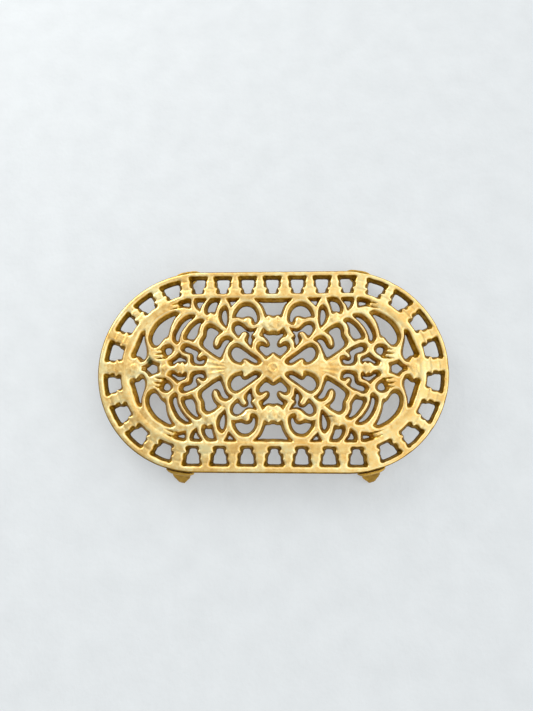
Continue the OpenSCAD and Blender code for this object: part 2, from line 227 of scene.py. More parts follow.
def narrowed(loop, distance):
    """Where an opening comes out on the underside: moved in as far as it stays clear of itself."""
    base = moved_in(loop, distance)
    while self_clearance(base).min() < TIGHTEST and distance > LEAST_DRAFT:
        distance *= NEXT_TRY
        base = moved_in(loop, distance)
    return base


def eased(values, spans, passes=6):
    """Values smoothed along each closed outline, never above the first ones."""
    result = values.copy()
    for start, stop in spans:
        part = values[start:stop]
        for _ in range(passes):
            part = (np.roll(part, 1) + 2 * part + np.roll(part, -1)) / 4
        result[start:stop] = np.minimum(part, values[start:stop])
    return result


# ---- relief on the top of the casting ----------------------------------------------------
PANEL_EDGE = 16.4          # the filigree panel starts this far in from the plate's edge
PANEL_STEP = 1.2           # width of the soft step down to it
PANEL_DROP = 0.38          # how far it lies below the rim
RIM_WIDTH = 3.4            # the rim and the inner ring are slightly rounded mouldings
RING_START = 13.2
MOULDING_DROP = 0.16

# Cross grooves on the gallery's bars: distance in from the plate's edge, width, depth
BAR_GROOVES = [(5.6, 0.6, 0.18), (10.6, 0.7, 0.2)]

# Grooves run from one place to another on the back right quarter and are mirrored to the
# others: start x, start y, end x, end y, width, depth. They get thinner towards their end.
GROOVES = [
    (54.6, 39.2, 60.2, 37.5, 0.62, 1.6),
    (54.2, 36.6, 61.2, 34.6, 0.55, 1.4),
    (63.8, 11.3, 68.0, 10.5, 0.62, 1.6),
    (63.4, 8.8, 68.6, 8.1, 0.66, 1.8),
    (61.8, 6.3, 68.2, 5.4, 0.66, 1.7),
    (74.8, 1.0, 76.8, 1.1, 0.45, 1.2),
    (28.6, 21.5, 26.2, 23.4, 0.40, 0.6),
]
GROOVE_END = 0.35          # width at the very end, against the start
# Fan of flutes on each side of the middle: they spread from a point on the long axis
FAN_START, FAN_END = 27.0, 39.0
FAN_SPREAD = math.radians(30)
FAN_FLUTES = 5
FAN_APEX = 20.0            # how far out on the long axis that point lies
FAN_DEPTH = 0.42
BOSS_RADIUS = 2.4          # ring on the middle diamond
BOSS_WIDTH = 0.62
BOSS_HEIGHT = 0.3
# Rounded knobs: x, y, radius, height above the panel
KNOBS = [
    (0.0, 26.3, 2.7, 0.38),
    (4.5, 26.2, 2.4, 0.34),
    (14.9, 27.4, 2.0, 0.38),
    (56.6, 5.2, 1.6, 0.25),
    (35.5, 28.6, 2.4, 0.3),
    (54.5, 0.0, 3.2, 0.3),
    (61.5, 0.0, 2.2, 0.26),
    (85.4, 0.0, 5.2, 0.38),
    (79.8, 0.0, 2.6, 0.3),
]
# Unevenness left by hand finishing: length of its waves, height in the noise, half its depth
UNEVENNESS = [(5.5, 3.1, 0.05), (1.7, 8.7, 0.024)]

# Where the top's mesh is fine: margins round the boss and the knobs, how many of its widths to
# each side of a groove, how far to each side in a fan, and from where to where on the bars
FINE_ROUND_BOSS = 2
FINE_ROUND_KNOB = 0.5
FINE_GROOVE_WIDTHS = 2.2
FINE_FAN_HALF = 9
FINE_BARS = (4, 12.6)


def edge_distance(x, y):
    """How far in from the plate's edge a place lies."""
    return END_RADIUS - np.hypot(np.maximum(np.abs(x) - END_CENTRE, 0), y)


def in_gallery(loop):
    """Whether an opening's outline is one of the gallery's."""
    return edge_distance(*loop.mean(axis=0)) < RING_START


def soft_step(share):
    """A share from 0 to 1, eased at both ends."""
    share = np.clip(share, 0, 1)
    return share * share * (3 - 2 * share)


def panel_share(x, y):
    """1 on the filigree panel, 0 on the frame round it."""
    return soft_step((edge_distance(x, y) - PANEL_EDGE) / PANEL_STEP)


def arched(share):
    """0 in the middle of a moulding and 1 at both its edges."""
    return np.clip(2 * share - 1, -1, 1) ** 2


def frame_relief(x, y):
    """How far the rim, the gallery and the inner ring lie below the top."""
    inward = edge_distance(x, y)
    rim = arched(inward / RIM_WIDTH)
    ring = arched((inward - RING_START) / (PANEL_EDGE - RING_START))
    drop = MOULDING_DROP * np.where(inward < (RIM_WIDTH + RING_START) / 2, rim, ring)
    for middle, width, depth in BAR_GROOVES:
        drop = drop + depth * np.exp(-((inward - middle) / width) ** 2)
    return drop


def to_line(u, v, groove):
    """Distance to a groove's line, and how far along it the nearest place is."""
    start, end = np.array(groove[:2]), np.array(groove[2:4])
    run = end - start
    share = np.clip(((u - start[0]) * run[0] + (v - start[1]) * run[1]) / (run @ run), 0, 1)
    return np.hypot(u - start[0] - share * run[0], v - start[1] - share * run[1]), share


def panel_relief(u, v):
    """How far the filigree lies below the top, at distances u and v from its middle."""
    drop = np.full(np.shape(u), PANEL_DROP)
    for knob_x, knob_y, radius, height in KNOBS:
        near = 1 - ((u - knob_x) ** 2 + (v - knob_y) ** 2) / radius ** 2
        drop = drop - height * np.sqrt(np.clip(near, 0, 1))
    from_middle = np.hypot(u, v)
    drop = drop - BOSS_HEIGHT * np.exp(-((from_middle - BOSS_RADIUS) / BOSS_WIDTH) ** 2)
    turn = np.arctan2(v, u - FAN_APEX)
    along = np.clip((u - FAN_START) / (FAN_END - FAN_START), 0, 1)
    flutes = 0.5 - 0.5 * np.cos(turn / FAN_SPREAD * math.pi * FAN_FLUTES)
    fan = np.where(turn < FAN_SPREAD, np.sin(along * math.pi) * flutes, 0)
    return np.maximum(drop + FAN_DEPTH * fan, 0)


def grooves_depth(u, v):
    """How deep the grooves are, at distances u and v from the filigree's middle."""
    depth = np.zeros(np.shape(u))
    for groove in GROOVES:
        distance, share = to_line(u, v, groove)
        width, deepest = groove[4:]
        taper = np.sqrt(1 - share)
        half = width * (GROOVE_END + (1 - GROOVE_END) * taper)
        depth += deepest * taper * np.exp(-(distance / half) ** 2)
    return depth


def relief(x, y):
    """How far the top of the casting lies below the rim, before its edges are rounded."""
    u, v = np.abs(x - PANEL_MIDDLE[0]), np.abs(y - PANEL_MIDDLE[1])
    panel = panel_share(x, y)
    return panel * panel_relief(u, v) + (1 - panel) * frame_relief(x, y) + grooves_depth(u, v)


def wants_fine(x, y):
    """Whether the relief near a place asks for the fine mesh."""
    u, v = np.abs(x - PANEL_MIDDLE[0]), np.abs(y - PANEL_MIDDLE[1])
    inward = edge_distance(x, y)
    fine = np.hypot(u, v) < BOSS_RADIUS + FINE_ROUND_BOSS
    fine |= (u > FAN_START) & (u < FAN_END) & (v < FINE_FAN_HALF)
    fine |= (inward > FINE_BARS[0]) & (inward < FINE_BARS[1])
    fine |= np.abs(inward - PANEL_EDGE - PANEL_STEP / 2) < PANEL_STEP
    for knob_x, knob_y, radius, _ in KNOBS:
        fine |= np.hypot(u - knob_x, v - knob_y) < radius + FINE_ROUND_KNOB
    for groove in GROOVES:
        fine |= to_line(u, v, groove)[0] < FINE_GROOVE_WIDTHS * groove[4]
    return fine


def hammered(x, y):
    """Depth of the unevenness left by hand finishing, 0 to about 0.15 mm."""
    return sum(depth * (noise.noise(Vector((x / size, y / size, level))) + 1)
               for size, level, depth in UNEVENNESS)


def surface_drop(places):
    """Depth of the finished top below the rim at each place."""
    uneven = np.array([hammered(*place) for place in places])
    return relief(places[:, 0], places[:, 1]) + uneven


# ---- mesh ------------------------------------------------------------------------------
CONVEX_TRIANGLES = 0       # the fill's kind of output: triangles over the convex hull
MERGE_DISTANCE = 1e-5      # the fill merges points nearer than this
FINE_KEEP_OFF = 0.5        # spacings kept free beside the rounded edges in the fine mesh
GRID_KEEP_OFF = 0.45       # and in the plain one
GROOVE_BROWN = 0.9         # a groove this deep is fully brown
GROOVE_SEEN = 0.15         # share of that from which a groove browns the metal
FLAT_BELOW = -0.98         # faces that look further down than this are flat shaded


def filled(points, loops):
    """Triangles that fill the metal between closed loops of point numbers."""
    edges = [(loop[i], loop[(i + 1) % len(loop)]) for loop in loops for i in range(len(loop))]
    made = geometry.delaunay_2d_cdt([Vector(p) for p in points], edges, [],
                                    CONVEX_TRIANGLES, MERGE_DISTANCE, True)
    new_points, _, new_faces, origins = made[:4]
    number = [origin[0] if origin else -1 for origin in origins]
    if -1 in number or len(new_points) != len(points):
        raise RuntimeError(f"outlines cross: {len(points)} points became {len(new_points)}")
    new_faces = [tuple(number[v] for v in face) for face in new_faces]
    ahead = {}
    for index, face in enumerate(new_faces):
        for a, b in zip(face, face[1:] + face[:1]):
            ahead[a, b] = index
    walls = set(edges)
    waiting = [ahead[edge] for edge in edges if edge in ahead]
    inside = set(waiting)
    while waiting:
        face = new_faces[waiting.pop()]
        for a, b in zip(face, face[1:] + face[:1]):
            other = ahead.get((b, a))
            if (a, b) in walls or (b, a) in walls or other is None or other in inside:
                continue
            inside.add(other)
            waiting.append(other)
    return [new_faces[i] for i in sorted(inside)]


def object_from(name, vertices, faces):
    """A new object in the scene, from millimetres."""
    mesh = bpy.data.meshes.new(name)
    mesh.from_pydata([tuple(v) for v in np.asarray(vertices) * MM], [], faces)
    mesh.validate()
    mesh.update()
    made = bpy.data.objects.new(name, mesh)
    bpy.context.scene.collection.objects.link(made)
    return made


def store_patina_and_painted_light(mesh, patina_and_painted_light):
    """Keeps the patina and painted light of each mesh point: below 0 is polished with a painted
    highlight, 1 is brown patina with painted shade.
    """
    store = mesh.attributes.new("patina_and_painted_light", "FLOAT", "POINT")
    store.data.foreach_set("value", patina_and_painted_light.astype(np.float32))


def inner_points(ring, ring_normals):
    """Mesh points on the metal's top, away from the innermost rings."""
    tree = kdtree.KDTree(len(ring))
    for i, place in enumerate(ring):
        tree.insert((place[0], place[1], 0), i)
    tree.balance()
    rows = int(2 * END_RADIUS / (FINE_STEP * ROW_RATIO))
    columns = int(2 * (END_CENTRE + END_RADIUS) / FINE_STEP)
    row, column = np.mgrid[0:rows, 0:columns]
    x = (column - columns / 2 + 0.5 * (row % 2)) * FINE_STEP
    y = (row - rows / 2) * FINE_STEP * ROW_RATIO
    every = round(GRID_STEP / FINE_STEP)
    coarse = (row % every == 0) & (column % every == 0)
    fine = wants_fine(x, y)
    chosen = []
    for i, j in np.argwhere(coarse | fine):
        place = x[i, j], y[i, j]
        _, nearest, distance = tree.find((*place, 0))
        keep_off = FINE_KEEP_OFF * FINE_STEP if fine[i, j] else GRID_KEEP_OFF * GRID_STEP
        if distance > keep_off and np.dot(place - ring[nearest], ring_normals[nearest]) < 0:
            chosen.append(place)
    return np.array(chosen)


def screw_places():
    """Middle of each screw in plan and the height of their ends, from the CAD screws."""
    names = [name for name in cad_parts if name.startswith("screw_")]
    boxes = [np.array(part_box(name)) / MM for name in sorted(names)]
    return [box.mean(axis=0)[:2] for box in boxes], boxes[0][1][2]


def cast_outline(loop):
    """An opening as it comes out of the mould: soft corners, a wandering edge, bold steps."""
    loop = softened(resampled(loop, MOULD_STEP), MOULD_STEP, CAST_SOFTNESS)
    if in_gallery(loop):
        loop = loop + STEP_GAIN * (loop - softened(loop, MOULD_STEP, STEP_SIZE))
    loop = resampled(loop, OUTLINE_STEP)
    off = [noise.noise(Vector((*place / WANDER_SIZE, WANDER_LEVEL))) for place in loop]
    return loop + outward(loop) * (CAST_WANDER * np.array(off))[:, None]


def plate_outlines():
    """The plate's own outline first, then the openings, all with even spacing."""
    openings = sorted(outlines_of(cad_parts["tray_plate"]), key=lambda loop: np.ptp(loop[:, 0]))
    openings.pop()                 # the longest one is the CAD plate's own outline
    return [resampled(stadium(RIM_DRAFT), OUTLINE_STEP)] + [cast_outline(loop) for loop in openings]


# Rows over a rounded edge: share of the band's width left, patina and painted light at an opening and
# at the rim
# Below 0 is a painted highlight along the band; towards the edge the brown is patina and painted shade
# on the rounded side
EDGE_ROWS = [(1.0, 0, 0), (0.76, -0.6, -0.4), (0.54, -0.35, 0.1), (0.26, 0.45, 0.75), (0.0, 0.8, 1.0)]
# Rows down a wall: share of the draft, share of the height, patina and painted shade, darkest at the
# wall's foot
WALL_ROWS = [(0.3, 0.74, 0.66), (0.72, 0.36, 0.78), (1.0, FILLET / 4, 1.15)]
UNDER_PATINA = 0.85
FRAME_PATINA = 0.2             # what the rim, the gallery and the ring have beyond the panel
BAND_SHARE = 0.86              # share of thin metal that its rounded bands take up at most
LEAST_FALL = 0.5               # share of the edge's fall that thin metal keeps


def base_outlines(edge, normals, spans):
    """Where each outline comes out on the underside."""
    rim = slice(*spans[0])
    outer = edge[rim] + normals[rim] * (RIM_DRAFT - RIM_INSET)
    bases = [outer]
    for span in spans[1:]:
        loop = edge[slice(*span)]
        bases.append(narrowed(loop, GALLERY_DRAFT if in_gallery(loop) else PANEL_DRAFT))
    return np.vstack(bases)


def cast_rows(edge, normals, spans):
    """Rings of points from the flat top over the edge and down to the underside."""
    metal = eased(clear_radius(edge, -normals), spans)
    widest = np.full(len(edge), EDGE_ROUND)
    widest[slice(*spans[0])] = RIM_ROUND
    band = np.minimum(BAND_SHARE * metal, widest)
    fall = EDGE_DROP * np.clip(metal / EDGE_ROUND, LEAST_FALL, 1)
    rows, shades = [], []

    def add(places, height, patina_and_painted_light, rim_patina_and_painted_light):
        """Adds a row, with the patina and painted light of the openings and those of the rim."""
        rows.append(np.column_stack([places, height]))
        shades.append(np.full(len(edge), float(patina_and_painted_light)))
        shades[-1][slice(*spans[0])] = rim_patina_and_painted_light

    for share, patina_and_painted_light, rim_patina_and_painted_light in EDGE_ROWS:
        places = edge - normals * (band * share)[:, None]
        rounding = fall * (1 - math.sqrt(1 - (1 - share) ** 2))
        drop = np.minimum(rounding + surface_drop(places), DEEPEST)
        add(places, TOP - drop, patina_and_painted_light, rim_patina_and_painted_light)
    lip = rows[-1][:, 2]
    base = base_outlines(edge, normals, spans)
    base_normals = np.vstack([outward(base[slice(*span)]) for span in spans])
    for share, height, patina_and_painted_light in WALL_ROWS:
        add(edge + (base - edge) * share, BOTTOM + (lip - BOTTOM) * height, patina_and_painted_light, patina_and_painted_light)
    add(base - base_normals * FILLET, np.full(len(edge), BOTTOM), UNDER_PATINA, UNDER_PATINA)
    return rows, shades


def ring_faces(here, there):
    """Quads between two equal rings of point numbers."""
    return list(zip(here, there, np.roll(there, -1), np.roll(here, -1)))


def screw_mouths():
    """Points round the mouths of the screw holes, hole by hole, and the height of their ends."""
    holes, screw_end = screw_places()
    turns = np.linspace(0, -2 * math.pi, HOLE_SIDES, endpoint=False)
    circle = SCREW_HOLE_RADIUS * np.stack([np.cos(turns), np.sin(turns)], axis=1)
    return np.vstack([place + circle for place in holes]), screw_end + SCREW_END_GAP


def browned(patina_and_painted_light, vertices, walls):
    """The plate's patina and painted light, with more patina on its frame and in the grooves, which
    leave its walls alone.
    """
    patina_and_painted_light = patina_and_painted_light + FRAME_PATINA * (1 - panel_share(vertices[:, 0], vertices[:, 1]))
    u, v = (np.abs(vertices[:, k] - PANEL_MIDDLE[k]) for k in range(2))
    grooved = np.clip(grooves_depth(u, v) / GROOVE_BROWN, 0, 1)
    grooved[walls] = 0
    return np.where(grooved > GROOVE_SEEN, np.maximum(patina_and_painted_light, grooved), patina_and_painted_light)


def cast_plate():
    """The plate as one closed cast surface."""
    loops = plate_outlines()
    ends = np.cumsum([0] + [len(loop) for loop in loops])
    spans = list(zip(ends[:-1], ends[1:]))
    edge = np.vstack(loops)
    normals = np.vstack([outward(loop) for loop in loops])
    rows, shades = cast_rows(edge, normals, spans)
    middle = inner_points(rows[0][:, :2], normals)
    middle = np.column_stack([middle, TOP - np.minimum(surface_drop(middle), DEEPEST)])

    count = len(edge)
    under = (len(rows) - 1) * count
    above = len(rows) * count
    faces = []
    for level in range(len(rows) - 1):
        for span in spans:
            here = np.arange(*span) + level * count
            faces += ring_faces(here, here + count)
    outline_numbers = [list(range(*span)) for span in spans]
    top_plan = np.vstack([rows[0], middle])[:, :2]
    for face in filled(top_plan, outline_numbers):
        faces.append(tuple(v if v < count else v - count + above for v in face))

    mouths, hole_top = screw_mouths()
    first = above + len(middle)
    mouth_numbers = [list(range(count + i, count + i + HOLE_SIDES))
                     for i in range(0, len(mouths), HOLE_SIDES)]
    under_plan = np.vstack([rows[-1][:, :2], mouths])
    for face in filled(under_plan, outline_numbers + mouth_numbers):
        faces.append(tuple(v + under if v < count else v - count + first for v in reversed(face)))
    rims = np.column_stack([mouths, np.full(len(mouths), BOTTOM)])
    hole_ends = np.column_stack([mouths, np.full(len(mouths), hole_top)])
    for i in range(0, len(mouths), HOLE_SIDES):
        here = first + i + np.arange(HOLE_SIDES)
        faces += ring_faces(here + len(mouths), here)
        faces.append(tuple(here + len(mouths)))

    vertices = np.vstack(rows + [middle, rims, hole_ends])
    patina_and_painted_light = np.concatenate(shades + [np.zeros(len(middle)), np.ones(2 * len(mouths))])
    walls = slice((len(EDGE_ROWS) - 1) * count, above)

    plate = object_from("cast_plate", vertices, [tuple(int(v) for v in face) for face in faces])
    store_patina_and_painted_light(plate.data, browned(patina_and_painted_light, vertices, walls))
    for polygon in plate.data.polygons:
        polygon.use_smooth = polygon.normal.z > FLAT_BELOW
    return plate


# ---- feet ------------------------------------------------------------------------------
FOOT_VOXEL = 0.3           # resolution of a remade foot
FOOT_SOFTENING = 12        # smoothing passes over it
FOOT_LUMPS = 0.1           # height of its unevenness
LUMP_SIZE = 1.7            # and over what length
LUMP_LEVEL = 0.6           # noise at which a foot keeps its size: most lumps go inwards
LIP_HEIGHT = 1.6           # how far the lip stands above the pad that the plate rests on
TIP_HEIGHT = 1.5           # what lies below this is the tip
TIP_TAPER = 0.36           # how much narrower the very end of a tip is than the CAD foot's
TAPER_START = 0.5          # share of the way out where that begins
FOOT_PATINA = 0.55         # patina where a foot is flat
EDGE_HIGHLIGHT_GAIN = 9.0            # how strongly a foot's edges get a painted highlight and its hollows painted shade, per millimetre of bend
BEND_BLUR = 3              # times that bend is averaged with that of the neighbours
FACES_UP = 0.5             # least upward part of a normal on the seat of the plate
SEAT_REACH = 0.4           # how near the seat's height a point belongs to it


def remade(source):
    """An even mesh of a CAD solid with its edges softened."""
    copy = bpy.data.objects.new("copy", source.data.copy())
    bpy.context.scene.collection.objects.link(copy)
    remesh = copy.modifiers.new("remesh", "REMESH")
    remesh.mode = "VOXEL"
    remesh.voxel_size = FOOT_VOXEL * MM
    smooth = copy.modifiers.new("smooth", "SMOOTH")
    smooth.factor = 0.5
    smooth.iterations = FOOT_SOFTENING
    evaluated = copy.evaluated_get(bpy.context.evaluated_depsgraph_get())
    mesh = bpy.data.meshes.new_from_object(evaluated)
    bpy.data.objects.remove(copy)
    return mesh


def vectors_of(mesh, name):
    """One vector for each point of a mesh, such as its place or its normal."""
    values = np.empty(len(mesh.vertices) * 3)
    mesh.vertices.foreach_get(name, values)
    return values.reshape(-1, 3)


def bend_of(mesh, places, normals):
    """How far each point stands proud of its neighbours, in millimetres, slightly blurred."""
    ends = np.empty(len(mesh.edges) * 2, int)
    mesh.edges.foreach_get("vertices", ends)
    ends = np.vstack([ends.reshape(-1, 2), ends.reshape(-1, 2)[:, ::-1]])
    share = np.bincount(ends[:, 0], minlength=len(places))
    step = places[ends[:, 0]] - places[ends[:, 1]]
    proud = np.einsum("ij,ij->i", step, normals[ends[:, 0]])
    bend = np.bincount(ends[:, 0], proud, len(places)) / share
    for _ in range(BEND_BLUR):
        bend = (bend + np.bincount(ends[:, 0], bend[ends[:, 1]], len(places)) / share) / 2
    return bend / MM


def tapered(places):
    """A foot's points, drawn in towards its axis near the tip."""
    plan = places[:, :2]
    tip = plan[places[:, 2] < TIP_HEIGHT * MM].mean(axis=0)
    root = plan[places[:, 2] > BOTTOM * MM].mean(axis=0)
    axis = (tip - root) / np.linalg.norm(tip - root)
    along = (plan - root) @ axis
    across = plan - root - along[:, None] * axis
    share = soft_step((along / along.max() - TAPER_START) / (1 - TAPER_START))
    return np.column_stack([plan - TIP_TAPER * share[:, None] * across, places[:, 2]])


def cast_foot(node):
    """A foot with the soft edges and uneven skin of a small sand casting."""
    mesh = remade(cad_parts[node])
    low, high = (np.array(corner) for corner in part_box(node))
    places, normals = vectors_of(mesh, "co"), vectors_of(mesh, "normal")
    places = tapered(places)
    # Painted light on the foot: a painted highlight on edges that stand proud, painted shade in its
    # hollows
    patina_and_painted_light = FOOT_PATINA - EDGE_HIGHLIGHT_GAIN * bend_of(mesh, places, normals)
    lump = np.array([noise.noise(Vector(place) / (LUMP_SIZE * MM)) for place in places])
    places += normals * ((FOOT_LUMPS * (lump - LUMP_LEVEL)) * MM)[:, None]
    seat = high[2] - LIP_HEIGHT * MM
    on_seat = (normals[:, 2] > FACES_UP) & (np.abs(places[:, 2] - seat) < SEAT_REACH * MM)
    places[on_seat, 2] = np.minimum(places[on_seat, 2], seat)
    places = np.clip(places, low, high)
    mesh.vertices.foreach_set("co", places.ravel())
    mesh.update()
    mesh.polygons.foreach_set("use_smooth", np.ones(len(mesh.polygons), bool))
    store_patina_and_painted_light(mesh, np.clip(patina_and_painted_light, -1, 1))
    foot = bpy.data.objects.new(f"cast_{node}", mesh)
    bpy.context.scene.collection.objects.link(foot)
    return foot


# ---- materials --------------------------------------------------------------------------
# Patterns in the metal, from coarse to fine: scale and detail of the noise, and roughness
BROAD, WALL, MOTTLE, GRAIN = (75, 3), (300, 4), (430, 5, 0.6), (2600, 3, 0.6)
MIDRANGE = (0.3, 0.7)          # nearly all of a noise's values lie between these
GOLD_STOPS = (0.38, 0.5, 0.62)
BROWN_STOPS = (0.3, 0.52, 0.75)

# The patina and painted light of the mesh, with this much mottle in it, turns the metal brown (patina
# and painted shade), polished with a painted highlight, or darkest (painted shade) over these ranges of
# its value
PATINA_MOTTLE = 0.12
BROWN_RANGE = (0.12, 0.8)
HIGHLIGHT_RANGE = (-0.85, -0.1)
DARKEST_SHADE_RANGE = (0.8, 1.1)
DARKEST_SHADE_SHARE = 0.8

MARK_RAGGED = 0.35             # how uneven a mark's edge is, against its size
MARK_FADE = (0.45, 1.15)       # where a mark fades out, against its size
MARK_SHARE = 0.9               # how much of the metal's colour it hides

ROUGHNESS = (0.32, 0.46)       # of the gold metal
PATINA_ROUGHER = 0.14          # how much rougher brown metal is
POLISH_SMOOTHER = 0.1          # and how much smoother polished metal
SKIN_BUMP = 0.3                # strength of both bumps of the cast skin
MOTTLE_HEIGHT = 0.3            # height of the mottle's bumps
GRAIN_HEIGHT = 0.06            # and of the grain's

# The screws: noise of their tarnish and of their turning marks
TARNISH, TURNING = (700, 4), (3200, 2)
TARNISH_STOPS = (0.35, 0.65)
TURNED_ROUGHNESS = (0.25, 0.42)
TURNED_BUMP = 0.2
TURNED_HEIGHT = 0.04

# The floor: noise of its shades and of its pile
SHADES, PILE = (60, 5), (260, 4)
CLOTH_ROUGHNESS = 0.9
CLOTH_BUMP = 0.35
PILE_HEIGHT = 0.6
FLOOR_GLOW = 0.37              # light of its own that the floor gives off


def srgb(r, g, b):
    """A linear colour from 0 to 255 screen values."""
    def linear(c):
        """One linear channel."""
        c = c / 255
        return c / 12.92 if c <= 0.04045 else ((c + 0.055) / 1.055) ** 2.4
    return (linear(r), linear(g), linear(b), 1)


class Nodes:
    """A small helper that adds and links shader nodes of one material."""

    def __init__(self, name):
        self.material = bpy.data.materials.new(name)
        self.material.use_nodes = True
        self.tree = self.material.node_tree
        self.shader = self.tree.nodes["Principled BSDF"]
        self.place = self.add("ShaderNodeTexCoord").outputs["Object"]

    def add(self, kind, **settings):
        """A new node with its settings."""
        node = self.tree.nodes.new(kind)
        for key, value in settings.items():
            setattr(node, key, value)
        return node

    def join(self, sockets, values):
        """Links or sets each socket."""
        for socket, value in zip(sockets, values):
            if isinstance(value, bpy.types.NodeSocket):
                self.tree.links.new(value, socket)
            else:
                socket.default_value = value

    def set(self, name, value):
        """Links or sets one socket of the material's own shader."""
        self.join([self.shader.inputs[name]], [value])

    def noise(self, scale, detail=4, roughness=0.5):
        """A noise over the object, from 0 to 1."""
        node = self.add("ShaderNodeTexNoise")
        sockets = [node.inputs[name] for name in ("Vector", "Scale", "Detail", "Roughness")]
        self.join(sockets, (self.place, scale, detail, roughness))
        return node.outputs["Fac"]

    def ramp(self, source, *stops):
        """The source's value turned into colour by stops, each a position and a colour."""
        node = self.add("ShaderNodeValToRGB")
        elements = node.color_ramp.elements
        while len(elements) < len(stops):
            elements.new(0.5)
        for element, (position, colour) in zip(elements, stops):
            element.position = position
            element.color = colour
        self.join([node.inputs["Fac"]], [source])
        return node.outputs["Color"]

    def mix(self, share, first, second):
        """The first colour, with a share of the second."""
        node = self.add("ShaderNodeMix", data_type="RGBA")
        self.join([socket for socket in node.inputs if socket.enabled], (share, first, second))
        return next(socket for socket in node.outputs if socket.enabled)

    def span(self, source, low, high, start=0.0, end=1.0):
        """The source's range from start to end, mapped to low to high."""
        node = self.add("ShaderNodeMapRange")
        names = ("Value", "From Min", "From Max", "To Min", "To Max")
        self.join([node.inputs[name] for name in names], (source, start, end, low, high))
        return node.outputs["Result"]

    def maths(self, operation, first, second):
        """One sum of two values."""
        node = self.add("ShaderNodeMath", operation=operation)
        self.join(node.inputs, (first, second))
        return node.outputs["Value"]

    def distance_to(self, place, size):
        """Distance to a place, against the size of a patch round it."""
        offset = self.add("ShaderNodeVectorMath", operation="SUBTRACT")
        self.join(offset.inputs, (self.place, place))
        node = self.add("ShaderNodeVectorMath", operation="DIVIDE")
        self.join(node.inputs, (offset.outputs["Vector"], size))
        length = self.add("ShaderNodeVectorMath", operation="LENGTH")
        self.join(length.inputs, (node.outputs["Vector"],))
        return length.outputs["Value"]

    def bump(self, height, strength, distance, below=None):
        """A normal that leans with the height, over the normal below if there is one."""
        node = self.add("ShaderNodeBump")
        self.join([node.inputs[name] for name in ("Strength", "Distance", "Height")],
                  (strength, distance, height))
        if below is not None:
            self.join([node.inputs["Normal"]], [below])
        return node.outputs["Normal"]


def cast_brass(name, gold, brown, highlight_colour, marks=()):
    """Cast brass with mottled gold, polished edges with a painted highlight and brown patina with
    painted shade, led by the mesh's patina and painted light.
    """
    n = Nodes(name)
    broad, mottle, grain = n.noise(*BROAD), n.noise(*MOTTLE), n.noise(*GRAIN)
    stored = n.add("ShaderNodeAttribute", attribute_name="patina_and_painted_light").outputs["Fac"]
    uneven = n.maths("ADD", stored, n.span(mottle, -PATINA_MOTTLE, PATINA_MOTTLE, *MIDRANGE))
    patina_and_painted_light = n.span(uneven, 0, 1, *BROWN_RANGE)
    polish_and_highlight = n.span(uneven, 1, 0, *HIGHLIGHT_RANGE)
    halves = [n.maths("MULTIPLY", pattern, 0.5) for pattern in (broad, mottle)]
    light_gold = n.ramp(n.maths("ADD", *halves), *zip(GOLD_STOPS, gold))
    # Painted highlight on the polished edges
    gold_with_highlight = n.mix(polish_and_highlight, light_gold, highlight_colour)
    wall = n.ramp(n.noise(*WALL), *zip(BROWN_STOPS, brown))
    colour = n.mix(patina_and_painted_light, gold_with_highlight, wall)
    # Painted shade: the darkest brown along the foot of the walls and the rim's outer edge
    colour = n.mix(n.span(uneven, 0, DARKEST_SHADE_SHARE, *DARKEST_SHADE_RANGE), colour, DARKEST_SHADE)
    for place, size, mark_colour in marks:
        ragged = n.span(mottle, -MARK_RAGGED, MARK_RAGGED, *MIDRANGE)
        off = n.maths("ADD", n.distance_to(place, size), ragged)
        colour = n.mix(n.span(off, MARK_SHARE, 0, *MARK_FADE), colour, mark_colour)
    n.set("Base Color", colour)
    n.set("Metallic", 1.0)
    rough = n.maths("ADD", n.span(mottle, *ROUGHNESS, *MIDRANGE), n.span(patina_and_painted_light, 0, PATINA_ROUGHER))
    n.set("Roughness", n.maths("SUBTRACT", rough, n.span(polish_and_highlight, 0, POLISH_SMOOTHER)))
    coarse = n.bump(mottle, SKIN_BUMP, MOTTLE_HEIGHT * MM)
    n.set("Normal", n.bump(grain, SKIN_BUMP, GRAIN_HEIGHT * MM, coarse))
    return n.material


def screw_brass():
    """Turned brass, lightly tarnished."""
    n = Nodes("screw_brass")
    tarnish = n.noise(*TARNISH)
    n.set("Base Color", n.ramp(tarnish, *zip(TARNISH_STOPS, SCREW_GOLD)))
    n.set("Metallic", 1.0)
    n.set("Roughness", n.span(tarnish, *TURNED_ROUGHNESS))
    n.set("Normal", n.bump(n.noise(*TURNING), TURNED_BUMP, TURNED_HEIGHT * MM))
    return n.material


def floor_cloth():
    """Plain pale matt cloth. A little light of its own stands for what spreads inside the pile."""
    n = Nodes("floor_cloth")
    n.set("Base Color", n.ramp(n.noise(*SHADES), *zip(MIDRANGE, CLOTH)))
    n.set("Emission Color", GLOW)
    n.set("Emission Strength", FLOOR_GLOW)
    n.set("Roughness", CLOTH_ROUGHNESS)
    n.set("Normal", n.bump(n.noise(*PILE), CLOTH_BUMP, PILE_HEIGHT * MM))
    return n.material


def dress(piece, material):
    """Gives a piece one material."""
    piece.data.materials.clear()
    piece.data.materials.append(material)


# ---- the object ---------------------------------------------------------------------------
# Marks on the plate, a patch of verdigris and a scratch: middle and half size in metres, colour
MARKS = [
    ((-0.0700, 0.0052, TOP * MM), (0.0019, 0.0038, 0.006), srgb(66, 74, 38)),
    ((0.0330, -0.0268, TOP * MM), (0.0024, 0.00045, 0.006), srgb(44, 24, 2)),
]

# Colours of the metal, each set from dark to light
GOLD = (srgb(233, 185, 104), srgb(252, 217, 142), srgb(255, 243, 184))
# Brown patina, also used as painted shade on the rounded sides and down the walls
BROWN = (srgb(132, 94, 8), srgb(174, 130, 26), srgb(208, 166, 62))
# Painted shade along the foot of the walls
DARKEST_SHADE = srgb(84, 54, 0)
